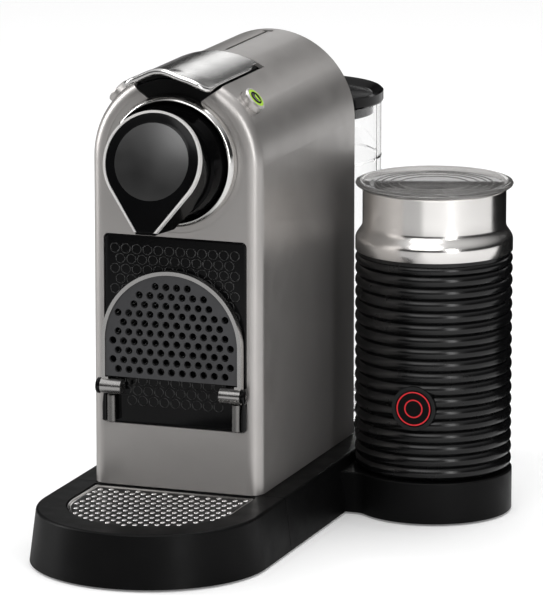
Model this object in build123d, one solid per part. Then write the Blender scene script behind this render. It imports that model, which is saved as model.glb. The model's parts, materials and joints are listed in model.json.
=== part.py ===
from build123d import *
import math
import os

# A pod coffee machine with a milk frother at its side, made as separate pieces.
# Drawn with x across (0 on the brewing body's centreline), y from the body's front face
# towards the water tank at the back, and z up from the table; all sizes in millimetres.
# Every piece is moved at export so that the row's origin is the middle of the footprint.

# ---------------------------------------------------------------- driving dimensions
BODY_R = 51.3            # half width of the silver body and radius of its arched top
ARCH_Z = 222.7           # height of the arch's axis
BODY_DEPTH = 163.5
BODY_FOOT = 32.4
SHELL = 2.2
FRONT_ROUND = 8.0

BASE_HALF = 69.0         # half width of the base where it meets its feet
BASE_UNDER = 1.4
BASE_TOP = 32.0
BASE_TAPER = 7.3         # degrees that the base's sides lean in
BASE_REAR = 265.0
BASE_REAR_ROUND = 50.0
BASE_WALL = 3.0
TRAY_ARC_Y = -39.0       # centre of the base's round front end
SEAM_Y = 4.0             # joint between the drip tray and the base
SEAM_GAP = 0.2

GRID_R = 49.0
GRID_ARC_Y = -36.0
GRID_BACK = -1.0
GRID_TOP = 31.4
GRID_THICK = 2.0

NICHE_HALF = 43.4
NICHE = (68.7, 179.4)
PANEL_GAP = 0.4

HEAD_Z = 224.0           # axis of the brewing head
RING_R = 37.9
BARREL_R = 33.0
NOSE_TILT = 16.0
NOSE_Y = -35.8
NOSE_Z = 229.5
NOSE_R = 29.1
NECK_HALF = 6.6
NECK_DROP = 39.8
NOSE_FOOT = 189.6        # underside of the nose, where the spout tube ends a little lower

LEVER_R = 53.3
LEVER_THICK = 2.4
LEVER_HALF = 25.9
LEVER_REAR = 69.0
LUG_OUT = 24.3           # half width of the lever between the well's walls
LIP_FRONT = -17.0
HINGE_Y = 65.0
HINGE_Z = 264.5
RECESS_HALF = 26.3
RECESS_REAR = 76.0

BUTTON_ANGLE = 49.0      # round the arch from the top
BUTTON_Y = 19.8
BUTTON_R = 7.35
BUTTON_PROUD = 4.3

SUPPORT_HALF = 42.4      # cup support, folded up against the front
SUPPORT_ARC_Z = 118.5
SUPPORT_PIVOT_Y = -6.0
SUPPORT_PIVOT_Z = 91.5

TANK_Y = 213.5
TANK_R = 48.3
TANK_WALL = 2.0
TANK_FLOOR = 32.2
TANK_RIM = 223.0
TANK_LID_R = 49.5

JUG_X = 111.7
JUG_Y = 131.0
JUG_R = 46.0
PLINTH_R = 46.5
PLINTH_TOP = 25.6
RIB_FOOT = 27.4
RIB_PITCH = 7.1
RIB_COUNT = 17
RIB_DEPTH = 2.2
BAND_FOOT = 155.6
BAND_TOP = 188.0
POT_R = 40.2
POT_FLOOR = 60.0
JUG_BUTTON_Z = 70.0
JUG_BUTTON_TURN = 4.0    # degrees the frother's button is turned towards the machine's side

RED_RINGS = (10.1, 5.5)   # outer radii of the lit rings in the frother's button

FOOT_R = 6.0
SCREW_SEAT = 3.4         # height of the screw heads' seats in the underside cover
RUN_FIT = 0.05           # radial clearance of a pin that turns
SLIDE_GAP = 0.3          # clearance of a piece that slides

ROW = Pos(-(JUG_X + PLINTH_R - BASE_HALF) / 2, -(BASE_REAR + TRAY_ARC_Y - BASE_HALF) / 2, 0)

parts = {}


# ---------------------------------------------------------------- drawing helpers
def block(x, y, z):
    """A box between two limits along each axis."""
    centre = Pos((x[0] + x[1]) / 2, (y[0] + y[1]) / 2, (z[0] + z[1]) / 2)
    return centre * Box(x[1] - x[0], y[1] - y[0], z[1] - z[0])


def rod_x(radius, x, y, z):
    """A round bar along x."""
    return Pos((x[0] + x[1]) / 2, y, z) * Rot(0, 90, 0) * Cylinder(radius, x[1] - x[0])


def rod_y(radius, x, y, z):
    """A round bar along y."""
    return Pos(x, (y[0] + y[1]) / 2, z) * Rot(90, 0, 0) * Cylinder(radius, y[1] - y[0])


def rod_z(radius, x, y, z):
    """A round bar along z."""
    return Pos(x, y, (z[0] + z[1]) / 2) * Cylinder(radius, z[1] - z[0])


def turned(points):
    """A solid of revolution about z from (radius, height) points."""
    outline = make_face(Polyline(*points, close=True))
    return revolve(Plane.XZ * outline, Axis.Z)


def turned_y(points, z):
    """A solid of revolution about a line along y from (radius, y) points."""
    return Pos(0, 0, z) * Rot(-90, 0, 0) * turned(points)


def prism_y(sketch, y):
    """Extrude a sketch drawn in x and z between two depths."""
    return extrude(Plane.XZ.offset(-y[1]) * sketch, y[1] - y[0])


def prism_x(sketch, x):
    """Extrude a sketch drawn in y and z between two x values."""
    return extrude(Plane.YZ.offset(x[0]) * sketch, x[1] - x[0])


def arch(radius, foot):
    """The body's section: straight sides under a round top."""
    sides = Pos(0, (ARCH_Z + foot) / 2) * Rectangle(2 * radius, ARCH_Z - foot)
    return Pos(0, ARCH_Z) * Circle(radius) + sides


def arch_band(outer, inner, half):
    """The part of the arch's ring within half of the centreline."""
    ring = Pos(0, ARCH_Z) * (Circle(outer) - Circle(inner))
    return ring & (Pos(0, ARCH_Z + outer) * Rectangle(2 * half, outer))


def mirrored(piece):
    """A piece and its mirror image across the centreline."""
    return [piece, piece.mirror(Plane.YZ)]


def hex_rows(pitch, row, half_width, z, keep):
    """Centres of a staggered hole pattern in x and z that pass the keep test."""
    spots = []
    rows = int((z[1] - z[0]) / row) + 1
    columns = int(2 * half_width / pitch) + 2
    for j in range(rows):
        height = z[1] - j * row
        shift = pitch / 2 if j % 2 else 0
        for i in range(columns):
            x = -half_width + i * pitch + shift
            if keep(x, height):
                spots.append((x, height))
    return spots


def save(name, *pieces):
    """Keep a node: one piece, or a group of separate alike pieces."""
    parts[name] = pieces[0] if len(pieces) == 1 else Compound(children=list(pieces))


# ---------------------------------------------------------------- brewing body
def button_place(side, radius):
    """The frame of a coffee button: z points out of the arch at that radius."""
    angle = side * BUTTON_ANGLE
    return Pos(0, BUTTON_Y, ARCH_Z) * Rot(0, angle, 0) * Pos(0, 0, radius)


def body_shell():
    """The silver shell: an arch-section box, open at its foot and back."""
    outer = prism_y(arch(BODY_R, BODY_FOOT), (0, BODY_DEPTH))
    front = outer.faces().sort_by(Axis.Y)[0]
    rim = front.edges().filter_by(lambda edge: edge.center().Z > BODY_FOOT + 1)
    outer = fillet(rim, FRONT_ROUND)
    inner = prism_y(arch(BODY_R - SHELL, BODY_FOOT - 1), (SHELL, BODY_DEPTH + 1))
    front = inner.faces().sort_by(Axis.Y)[0]
    rim = front.edges().filter_by(lambda edge: edge.center().Z > BODY_FOOT)
    inner = fillet(rim, FRONT_ROUND - SHELL)
    shell = outer - inner
    shell -= rod_y(RING_R - 1.2, 0, (-1, 12), HEAD_Z)
    shell -= rod_y(RING_R + 4, 0, (-1, 0.4), HEAD_Z)
    height = NICHE[1] - NICHE[0]
    niche = Pos(0, sum(NICHE) / 2) * RectangleRounded(2 * NICHE_HALF, height, 3)
    shell -= prism_y(niche, (-1, 20))
    notch = make_face(Polyline((-14, 257), (14, 257), (RECESS_HALF, 266), (RECESS_HALF, 290),
                               (-RECESS_HALF, 290), (-RECESS_HALF, 266), close=True))
    shell -= prism_y(notch, (-1, 9))
    shell -= block((-RECESS_HALF, RECESS_HALF), (8, RECESS_REAR), (262, 290))
    slot_floor = ARCH_Z + BODY_R - 1.4
    shell -= block((-0.85, 0.85), (84, 157), (slot_floor, 290))
    shell -= block((-3, 3), (153, 157), (slot_floor, 290))
    for side in (-1, 1):
        shell -= button_place(side, BODY_R) * Cylinder(BUTTON_R + SLIDE_GAP, 12)
    return shell


def rear_panel():
    """The flat black back of the body, with vents behind the tank."""
    panel = prism_y(arch(BODY_R - SHELL - 0.15, BODY_FOOT), (BODY_DEPTH - 3, BODY_DEPTH))
    for i in range(5):
        panel -= block((-26, 26), (BODY_DEPTH - 4, BODY_DEPTH + 1), (238 + 4.5 * i, 240 + 4.5 * i))
    for x, z in rear_screw_spots():
        panel -= rod_y(1.7, x, (BODY_DEPTH - 4, BODY_DEPTH + 1), z)
    return panel


def chassis():
    """The inner frame that the pump and the thermoblock stand on."""
    frame = block((-46, 46), (98, 158), (34, 37))
    frame += block((-46, 46), (98, 158), (167, 170))
    for side in (-1, 1):
        frame += block(sorted((side * 43, side * 46)), (98, 158), (34, 170))
    frame -= rod_z(4, 20, 128, (160, 172))
    frame -= rod_z(5, 31, 112, (30, 40))
    for side in (-1, 1):
        frame += block(sorted((side * 43, side * 46)), (70, 98), (186, 200))
        frame += block(sorted((side * 43, side * 46)), (98, 104), (170, 200))
    return frame


# ---------------------------------------------------------------- brewing head
def drop(grow, depth):
    """A teardrop plate whose front lies on the nose's leaning face plane."""
    radius = NOSE_R + grow
    corner = Vector(NECK_HALF + grow, -NECK_DROP)
    reach = math.hypot(corner.X, corner.Y)
    angle = math.atan2(corner.Y, corner.X) + math.acos(radius / reach)
    touch = Vector(radius * math.cos(angle), radius * math.sin(angle))
    outline = [
        ThreePointArc(touch, (0, radius), (-touch.X, touch.Y)),
        Line((-touch.X, touch.Y), (-corner.X, corner.Y)),
        Line((-corner.X, corner.Y), (corner.X, corner.Y)),
        Line((corner.X, corner.Y), touch),
    ]
    return extrude(nose_plane() * make_face(outline), -depth)


def nose_plane():
    """The leaning plane of the nose's face, with y up the face."""
    lean = math.radians(NOSE_TILT)
    return Plane((0, NOSE_Y, NOSE_Z), x_dir=(1, 0, 0), z_dir=(0, -math.cos(lean), math.sin(lean)))


def head_ring():
    """The bright ring round the brewing head."""
    inner = BARREL_R + 0.3
    return turned_y([(inner, 4), (inner, -3), (inner + 0.9, -6.4), (inner + 2.4, -8), (37.2, -7.6),
                     (RING_R, -6), (RING_R, -0.1), (RING_R - 1.3, -0.1), (RING_R - 1.3, 4)], HEAD_Z)


def head_barrel():
    """The black barrel inside the ring, which carries the nose."""
    return turned_y([(BARREL_R, 4), (BARREL_R, -8), (30.6, -17.6), (29.2, -19), (0, -19), (0, -14),
                     (26.5, -14), (27.5, -8), (27.5, 4)], HEAD_Z)


def nose_body():
    """The black body of the nose behind its bright edge."""
    side = make_face(Polyline((-60, NOSE_FOOT), (-25, NOSE_FOOT), (-19.2, 200), (-19.2, 270),
                              (-60, 270), close=True))
    body = drop(-0.6, 45) + block((-6, 6), (-45.8, -25), (NOSE_FOOT, 192)) - drop(5, 3.2)
    body = body & prism_x(side, (-40, 40))
    return body - rod_z(4.2, 0, -34, (180, 205))


def nose_bezel():
    """The bright edge round the nose's face."""
    return drop(0, 3.2) - drop(-1.4, 2.2)


def nose_face():
    """The glossy face of the nose, slightly domed."""
    plate = drop(-1.6, 2.2)
    dome_r = 220.0
    crown = 1.3
    ball = nose_plane() * Pos(0, -2, crown - dome_r) * Sphere(dome_r)
    return plate + (drop(-2.4, -crown) & ball)


def coffee_outlet():
    """The spout tube under the nose."""
    foot = NOSE_FOOT - 1.0
    return rod_z(4.0, 0, -34, (foot, 203)) - rod_z(2.6, 0, -34, (foot - 1, 204))


# ---------------------------------------------------------------- lever and brew unit
def lever_plate():
    """The bright lever: a curved plate with a raised lip, narrowed where it swings in the well."""
    plate = prism_y(arch_band(LEVER_R, LEVER_R - LEVER_THICK, LEVER_HALF), (-1, LEVER_REAR))
    lip_r = 31.0
    lip = Circle(lip_r) - Circle(lip_r - LEVER_THICK)
    lip = Pos(0, 278.4 - lip_r) * (lip & (Pos(0, lip_r) * Rectangle(44, lip_r)))
    root = Plane.XZ.offset(1) * arch_band(LEVER_R, LEVER_R - LEVER_THICK, LEVER_HALF)
    for side in (-1, 1):
        plate -= block(sorted((side * LUG_OUT, side * 30)), (HINGE_Y - 4.5, 80), (250, 290))
    return plate + loft([root.face(), (Plane.XZ.offset(-LIP_FRONT) * lip).face()])


def lever_frame():
    """The black underside of the lever, with its hinge lugs and crank arms."""
    inner = LEVER_R - LEVER_THICK
    frame = prism_y(arch_band(inner - 0.05, inner - 2.4, 21), (2, 68.5))
    for side in (-1, 1):
        arm = prism_x(make_face(Polyline((60, 259.5), (69, 260), (69.5, 268), (66, 272), (40, 272),
                                         (36, 252), (41, 245), (47, 250), close=True)),
                      sorted((side * 21.9, side * LUG_OUT)))
        lug_cover = prism_y(arch_band(inner - 0.05, inner - 6, LUG_OUT), (36, 70))
        frame += arm & prism_y(arch(inner - 0.05, 240), (36, 70))
        frame += lug_cover & block(sorted((side * 19, side * LUG_OUT)), (38, 68), (255, 280))
    swing = rod_x(8.8, (-30, 30), HINGE_Y, HINGE_Z)
    tail = block((-30, 30), (HINGE_Y, 80), (240, 290))
    frame = (frame - tail) + (frame & tail & swing)
    return frame - rod_x(1.5 + RUN_FIT, (-30, 30), HINGE_Y, HINGE_Z)


def lever_axle():
    """The steel pin that the lever turns on."""
    return rod_x(1.5, (-26.0, 26.0), HINGE_Y, HINGE_Z)


def lever_well():
    """The black well under the lever, with the slot that pods drop through."""
    deck = prism_y(arch_band(48.0, 45.6, 26), (31, 80)) + prism_y(arch_band(48.0, 45.6, 23.5), (5, 31))
    window = make_face(Polyline((-13.6, 257.4), (13.6, 257.4), (25.4, 266), (23.5, 270),
                                (-23.5, 270), (-25.4, 266), close=True))
    deck += prism_y(window, (0.8, 5.2)) & prism_y(arch(48.0, 240), (0, 20))
    deck -= rod_y(RING_R + 0.1, 0, (-1, 4.2), HEAD_Z)
    for side in (-1, 1):
        wall = block(sorted((side * 24.8, side * 26.1)), (52, 75.6), (250, 272.3))
        deck += wall & prism_y(arch(LEVER_R - LEVER_THICK - 0.6, 240), (50, 80))
    well = deck - block((-19.4, 19.4), (8, 42), (250, 290))
    well -= block((-24.7, 24.7), (32, 70), (255.0, 290))
    well -= rod_x(12.8, (-24.7, 24.7), HINGE_Y, HINGE_Z)
    return well - rod_x(1.5 + RUN_FIT, (-30, 30), HINGE_Y, HINGE_Z)


def brew_frame():
    """The rails that the capsule cage runs in, open below for used pods."""
    frame = block((-30, 30), (86.4, 90), (204, 246))
    for side in (-1, 1):
        frame += block(sorted((side * 27.2, side * 30)), (10, 90), (204, 246))
        frame += block(sorted((side * 30, side * 43)), (70, 90), (186, 206))
    frame += block((-27.2, 27.2), (6.3, 9.2), (204, 212))
    frame += block((-30, -27.2), (6.3, 10.0), (204, 236))
    frame += block((27.2, 30), (6.3, 10.0), (204, 236))
    return frame - rod_y(3.4, 0, (80, 95), HEAD_Z)


def piercing_plate():
    """The steel plate that the pod is pressed against."""
    plate = rod_y(19, 0, (4.2, 6.2), HEAD_Z)
    for i in range(-2, 3):
        for j in range(-2, 3):
            plate -= rod_y(1.0, 4.2 * i, (3, 8), HEAD_Z + 4.2 * j)
    return plate + block((-26, 26), (4.2, 6.2), (205, 215))


def capsule_cage():
    """The cup that closes over the pod."""
    cage = rod_y(17.6, 0, (9.5, 40), HEAD_Z) - rod_y(15.2, 0, (9, 37), HEAD_Z)
    return cage - rod_y(2.0, 0, (30, 41), HEAD_Z)


def cage_carriage():
    """The slider behind the cage, with ears that the lever's cranks act on."""
    carriage = block((-26.8, 26.8), (40.2, 52), (208, 240))
    for side in (-1, 1):
        carriage += block(sorted((side * 16, side * 21.2)), (42, 50), (238, 250))
        carriage -= rod_x(2.2, sorted((side * 15, side * 22)), 46, 246)
    return carriage - rod_y(3.4, 0, (40, 53), HEAD_Z)


def coffee_button(side, cup_width):
    """A round silver button that stands out of the arch, with a raised cup sign."""
    blank = Cylinder(BUTTON_R, 7, align=(Align.CENTER, Align.CENTER, Align.MAX))
    blank = chamfer(blank.faces().sort_by(Axis.Z)[-1].edges(), 0.8)
    blank -= Pos(0, 0, -1.2) * Cylinder(5.9, 3, align=(Align.CENTER, Align.CENTER, Align.MIN))
    blank += Pos(0, 0, -1.2) * Cylinder(4.2, 1.1, align=(Align.CENTER, Align.CENTER, Align.MIN))
    blank += Pos(0, 0, -0.1) * Box(cup_width, 1.6, 0.3, align=(Align.CENTER, Align.CENTER, Align.MIN))
    return button_place(side, BODY_R + BUTTON_PROUD) * blank


def light_ring(side):
    """The lit ring in a coffee button."""
    ring = Cylinder(5.8, 1.1, align=(Align.CENTER, Align.CENTER, Align.MAX))
    ring -= Cylinder(4.3, 3)
    return button_place(side, BODY_R + BUTTON_PROUD) * ring


# ---------------------------------------------------------------- capsule drawer
def front_panel():
    """The black front of the capsule drawer, patterned with raised rings clear of the legs."""
    half = NICHE_HALF - PANEL_GAP
    low = NICHE[0] + PANEL_GAP
    high = NICHE[1] - PANEL_GAP
    sheet = Pos(0, (low + high) / 2) * RectangleRounded(2 * half, high - low, 2.6)
    panel = prism_y(sheet, (0.4, 3.4))

    def clear(x, z):
        return abs(x) <= 37 and (abs(x) < 31 or z > 90)

    spots = hex_rows(6.6, 5.9, 36.5, (78, 171), clear)
    ring = Circle(2.9) - Circle(2.5)
    rings = Sketch() + [Pos(x, z) * ring for x, z in spots]
    return panel + prism_y(rings, (0.1, 0.4))


def capsule_container():
    """The open box that catches used pods."""
    outer = block((-40.5, 40.5), (3.4, 94), (70.5, 150))
    inner = block((-38.5, 38.5), (5.4, 92), (72.5, 151))
    return outer - inner


def support_brackets():
    """The bright legs and black ears that carry the cup support's hinge."""
    pieces = []
    for side in (-1, 1):
        ear = block(sorted((side * 43.0, side * 45.4)), (-10.4, -0.6), (86.8, 96.4))
        ear = fillet(ear.edges().filter_by(Axis.X).sort_by(Axis.Y)[:2], 4)
        leg = block(sorted((side * 34, side * 42.6)), (-5.2, 0.4), (69.6, 86.4))
        leg = fillet(leg.edges().filter_by(Axis.Z).sort_by(Axis.Y)[:2], 2.2)
        link = block(sorted((side * 41, side * 45.4)), (-5.2, -0.6), (82.5, 86.9))
        bracket = ear + leg + link
        bracket -= rod_x(1.5 + RUN_FIT, (-50, 50), SUPPORT_PIVOT_Y, SUPPORT_PIVOT_Z)
        pieces.append(bracket)
    return pieces


def support_pins():
    """The two pins of the cup support's hinge."""
    return mirrored(rod_x(1.5, (33, 45.2), SUPPORT_PIVOT_Y, SUPPORT_PIVOT_Z))


def support_outline(half, low):
    """The cup support's outline: a round top on straight sides, cut off at low."""
    reach = 2 * half
    top = Pos(0, SUPPORT_ARC_Z) * Circle(half) & (Pos(0, low + reach / 2) * Rectangle(reach, reach))
    return top + Pos(0, (low + SUPPORT_ARC_Z) / 2) * Rectangle(reach, SUPPORT_ARC_Z - low)


def support_frame():
    """The bright arched rim of the cup support, with its hinge barrels."""
    rim = support_outline(SUPPORT_HALF, 96.5) - support_outline(SUPPORT_HALF - 2.2, 96.5)
    frame = prism_y(rim, (-7.2, -2.4))
    for side in (-1, 1):
        barrel = rod_x(4.5, sorted((side * 30, side * 42.5)), SUPPORT_PIVOT_Y, SUPPORT_PIVOT_Z)
        web = block(sorted((side * 38.4, side * 42.4)), (-7.2, -2.4), (92, 97))
        frame += barrel + web
    return frame - rod_x(1.5 + RUN_FIT, (-50, 50), SUPPORT_PIVOT_Y, SUPPORT_PIVOT_Z)


def support_grid():
    """The pierced plate inside the cup support's rim."""
    rim = SUPPORT_HALF - 2.3
    sheet = support_outline(rim, 97.5)
    reach = rim - 3.6

    def inside(x, z):
        return abs(x) < reach and (z < SUPPORT_ARC_Z or math.hypot(x, z - SUPPORT_ARC_Z) < reach)

    spots = hex_rows(6.5, 5.5, 39, (102, 157), inside)
    holes = Sketch() + [Pos(x, z) * Circle(2.15) for x, z in spots]
    return prism_y(sheet - holes, (-6.0, -4.0))


# ---------------------------------------------------------------- base and drip tray
def footprint(inset, rear):
    """The base's plan outline, drawn in by inset: round in front, squarer behind."""
    half = BASE_HALF - inset
    hull = Pos(0, (TRAY_ARC_Y + rear) / 2) * Rectangle(2 * half, rear - TRAY_ARC_Y)
    hull = fillet(hull.vertices().sort_by(Axis.Y)[-2:], BASE_REAR_ROUND - inset)
    return Pos(0, TRAY_ARC_Y) * Circle(half) + hull


def base_outer():
    """The tapered block that the base and the drip tray are cut from."""
    foot = Pos(0, 0, BASE_UNDER) * footprint(0, BASE_REAR)
    solid = extrude(foot, BASE_TOP - BASE_UNDER, taper=BASE_TAPER)
    return fillet(solid.faces().sort_by(Axis.Z)[-1].edges(), 1.6)


def base_body(outer):
    """The hollow black base behind the tray's seam."""
    body = outer & block((-90, 90), (SEAM_Y + SEAM_GAP, 300), (0, 40))
    body -= block((-54, 54), (0, 62.5), (0, 29))
    hollow = footprint(BASE_WALL + 4, BASE_REAR - BASE_WALL - 4)
    room = extrude(hollow, 29) & block((-90, 90), (66, 300), (0, 40))
    body -= room
    body -= rod_z(6, 0, TANK_Y, (20, 40))
    body -= rod_z(5, 31, 112, (20, 40))
    return body - rod_y(5.2, -9, (240, 280), 13)


def underside_cover():
    """The plate that closes the base from below."""
    outline = footprint(BASE_WALL + 4.2, BASE_REAR - BASE_WALL - 4.2)
    plate = extrude(Pos(0, 0, BASE_UNDER) * outline, 1.8)
    plate = plate & block((-90, 90), (66.2, 300), (0, 10))
    for x, y in cover_screw_spots():
        plate += rod_z(5.4, x, y, (3.2, 28.8))
        plate -= rod_z(3.6, x, y, (0, SCREW_SEAT))
        plate -= rod_z(1.8, x, y, (0, 14))
    return plate


def cover_screw_spots():
    """Places of the screws in the underside cover."""
    return [(x, y) for x in (-48, 48) for y in (78, 150, 222)]


def rear_screw_spots():
    """Places of the screws in the rear panel."""
    return [(x, z) for x in (-40, 40) for z in (46, 205)]


def case_screws():
    """The slotted pan-head screws of the underside cover and the rear panel."""
    head = Pos(0, 0, 0.8) * Cylinder(3.2, 1.6) - Pos(0, 0, 1.6) * Box(4.4, 0.8, 1.6)
    screw = head + Pos(0, 0, -4) * Cylinder(1.6, 8)
    under = [Pos(x, y, SCREW_SEAT) * Rot(180, 0, 0) * screw for x, y in cover_screw_spots()]
    rear = [Pos(x, BODY_DEPTH, z) * Rot(-90, 0, 0) * screw for x, z in rear_screw_spots()]
    return under + rear


def plinth_sketch(inset):
    """The frother's round plinth with its bridge to the base."""
    round_part = Pos(JUG_X, JUG_Y) * Circle(PLINTH_R)
    bridge = Pos(84, JUG_Y) * Rectangle(56, 66)
    outline = round_part + bridge
    waist = outline.vertices().filter_by(lambda v: v.X > 70 and abs(v.Y - JUG_Y) > 30)
    outline = fillet([v for v in waist if v.X < JUG_X], 9)
    return offset(outline, -inset) if inset else outline


def frother_plinth(outer):
    """The black plinth that the milk jug stands on."""
    solid = extrude(Pos(0, 0, BASE_UNDER) * plinth_sketch(0), PLINTH_TOP - BASE_UNDER)
    crown = solid.faces().sort_by(Axis.Z)[-1]
    solid = fillet(crown.edges(), 0.8)
    solid -= extrude(Pos(0, 0, BASE_UNDER + 2) * plinth_sketch(2.6), PLINTH_TOP - BASE_UNDER - 4.6)
    solid -= outer
    return solid - rod_z(5, JUG_X, JUG_Y, (20, 30))


def power_connector():
    """The round connector that the jug drops onto."""
    post = turned([(0, 20), (4.9, 20), (4.9, PLINTH_TOP + 0.1), (7.6, PLINTH_TOP + 0.1), (7.6, 29.5),
                   (6.6, 31), (0, 31)])
    post -= rod_z(5.6, 0, 0, (29, 32)) - rod_z(3.6, 0, 0, (28, 33))
    return Pos(JUG_X, JUG_Y, 0) * post


def feet():
    """Rubber feet under the base and the plinth."""
    spots = [(-60, 22, 5), (60, 22, 5), (-42, 110, FOOT_R), (42, 110, FOOT_R), (-30, 240, FOOT_R),
             (30, 240, FOOT_R), (JUG_X + 22, JUG_Y - 22, FOOT_R), (JUG_X + 22, JUG_Y + 22, FOOT_R)]
    return [rod_z(r, x, y, (0, BASE_UNDER)) for x, y, r in spots]


def grid_outline(grow):
    """The D-shaped outline of the drip grid."""
    half = GRID_R + grow
    back = GRID_BACK + grow
    straight = Pos(0, (GRID_ARC_Y + back) / 2) * Rectangle(2 * half, back - GRID_ARC_Y)
    front = Pos(0, GRID_ARC_Y) * Circle(half)
    return (front & (Pos(0, back - half) * Rectangle(2 * half, 2 * half))) + straight


def drip_tray(outer):
    """The tray under the cup, with a tongue that runs into the base."""
    tray = outer & block((-90, 90), (-120, SEAM_Y - SEAM_GAP), (0, 40))
    tray -= extrude(Pos(0, 0, GRID_TOP - GRID_THICK) * grid_outline(0.4), 10)
    tray -= extrude(Pos(0, 0, 4.5) * grid_outline(-3), 30)
    tray += block((-53.2, 53.2), (SEAM_Y - SEAM_GAP, 61), (3.0, 27))
    tray -= block((-51, 51), (SEAM_Y - SEAM_GAP, 58.8), (5.2, 30))
    return tray - block((-45, 45), (-20, 12), (5.2, 25))


def drip_grid():
    """The bright grid that the cup stands on, with raised dots and drain holes."""
    plate = extrude(Pos(0, 0, GRID_TOP - GRID_THICK) * grid_outline(0), GRID_THICK)
    plate -= extrude(Pos(0, 0, GRID_TOP - 0.7) * grid_outline(-2), 1)
    reach = GRID_R - 5

    def inside(x, y):
        round_end = math.hypot(x, y - GRID_ARC_Y) < reach
        return (round_end or (y > GRID_ARC_Y and abs(x) < reach)) and y < GRID_BACK - 4

    dots = hex_rows(9.0, 7.8, 45, (-85, -4), inside)
    for x, y in dots:
        plate += rod_z(1.6, x, y, (GRID_TOP - 1.2, GRID_TOP - 0.2))
    holes = [(x + 4.5, y) for x, y in dots if inside(x + 4.5, y)]
    cutter = Sketch() + [Pos(x, y) * Circle(1.5) for x, y in holes]
    return plate - extrude(Pos(0, 0, 20) * cutter, 20)


# ---------------------------------------------------------------- water tank
def at_tank(piece):
    """Move a piece drawn about z to the tank's axis."""
    return Pos(0, TANK_Y, 0) * piece


def water_tank():
    """The clear round tank, with a moulded level line and a valve hole."""
    inner = TANK_R - TANK_WALL
    level = 190.0
    foot = 38.0
    return at_tank(turned([
        (6.4, TANK_FLOOR + 2.6), (40, TANK_FLOOR + 2.6), (42, TANK_FLOOR), (46.5, TANK_FLOOR),
        (TANK_R, TANK_FLOOR + 2), (TANK_R, level - 0.8), (TANK_R + 0.3, level), (TANK_R, level + 0.8),
        (TANK_R, TANK_RIM), (inner, TANK_RIM), (inner, foot + 2), (inner - 2, foot), (6.4, foot)]))


def tank_lid():
    """The black lid with a raised rim and a recessed middle."""
    rim = TANK_LID_R
    lid = turned([
        (0, 223.6), (41.5, 223.6), (41.5, 216.5), (43.5, 216.5), (43.5, 223.3), (rim - 0.5, 223.3),
        (rim, 224.2), (rim, 229.4), (rim - 1.2, 230.4), (46.4, 229.6), (43, 227.2), (0, 227.2)])
    grip = Pos(0, 0, 229) * Box(46, 4, 4)
    return at_tank(lid + fillet(grip.edges().filter_by(Axis.Z), 1.8))


def tank_valve():
    """The sprung plug in the tank's floor."""
    return at_tank(turned([(0, 35.6), (4.6, 35.6), (4.6, 38.4), (8.6, 38.4), (8.6, 40.4), (2.2, 40.4),
                           (2.2, 47), (0, 47)]))


def valve_cap():
    """The bridge in the tank that guides the valve."""
    cage = turned([(3.0, 52.5), (12, 52.5), (12, 38), (10.4, 38), (10.4, 51), (3.0, 51)])
    for turn in (0, 90):
        cage -= Rot(0, 0, turn) * block((-20, 20), (-3.5, 3.5), (40, 49.5))
    return at_tank(cage)


def valve_spring():
    """The spring that holds the valve shut."""
    coils = 4
    rise = 9.4
    path = Helix(pitch=rise / coils, height=rise, radius=5.6)
    wire = Plane(path @ 0, z_dir=path % 0) * Circle(0.35)
    return at_tank(Pos(0, 0, 41.0) * sweep(wire, path))


def tank_socket():
    """The socket on the base that the tank's foot drops onto."""
    return at_tank(turned([(3.4, 20), (5.8, 20), (5.8, 32.1), (10, 32.1), (10, 33.2), (4.0, 34.2),
                           (3.4, 34.2)]))


# ---------------------------------------------------------------- works inside the body
def thermoblock():
    """The cast heater that warms the water on its way through."""
    block_body = block((-34, 34), (104.2, 152), (170, 206))
    for i in range(6):
        block_body += block((-32 + 11 * i, -29 + 11 * i), (106, 150), (206, 216))
    block_body += rod_y(5, 0, (98, 104.2), 190)
    return block_body


def pump():
    """The vibrating pump, with its square coil and its rubber foot."""
    coil = block((-30, 14), (108, 148), (64, 106))
    body = fillet(coil.edges().filter_by(Axis.Z), 5) + rod_z(12, -8, 128, (52, 126))
    body += rod_z(4.5, -8, 128, (44, 136)) + rod_z(15, -8, 128, (37, 52))
    return body + rod_z(15, -8, 128, (112, 116))


def flow_meter():
    """The small wheel meter that counts the water."""
    meter = rod_z(11, 31, 112, (39, 51)) + rod_z(3.5, 31, 112, (28, 39))
    meter += rod_z(3.5, 31, 112, (51, 56))
    return meter


def hose(points, bends, radius):
    """A hose along straight runs joined by arcs."""
    path = FilletPolyline(*points, radius=bends)
    section = Plane(path @ 0, z_dir=path % 0) * Circle(radius)
    return sweep(section, path)


def water_hoses():
    """The hoses from the meter to the pump and from the pump to the thermoblock."""
    low = [(31, 112, 56.1), (31, 112, 140), (31, 142, 150), (20, 150, 156)]
    up = [(-8, 128, 136.1), (-8, 128, 152), (20, 128, 152), (20, 128, 169.9)]
    feed = hose(low, 9, 2.4)
    rise = hose(up, 7, 2.4)
    return [feed, rise]


def control_board():
    """The control board with its parts, fixed to the chassis wall."""
    board = block((-41.4, -39.8), (102, 154), (44, 150))
    board += block((-39.8, -34), (108, 122), (112, 128))
    board += block((-39.8, -32), (134, 148), (118, 140))
    board += block((-39.8, -37), (110, 128), (76, 96))
    for y in (105, 151):
        for z in (48, 146):
            board += rod_x(2, (-43, -41.4), y, z)
    return board


def cable_gland():
    """The grommet at the back of the base where the mains lead leaves."""
    return rod_y(5.1, -9, (254, 263.0), 13) - rod_y(3.4, -9, (250, 270), 13)


# ---------------------------------------------------------------- milk frother
def at_jug(piece):
    """Move a piece drawn about z to the jug's axis."""
    return Pos(JUG_X, JUG_Y, 0) * piece


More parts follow.
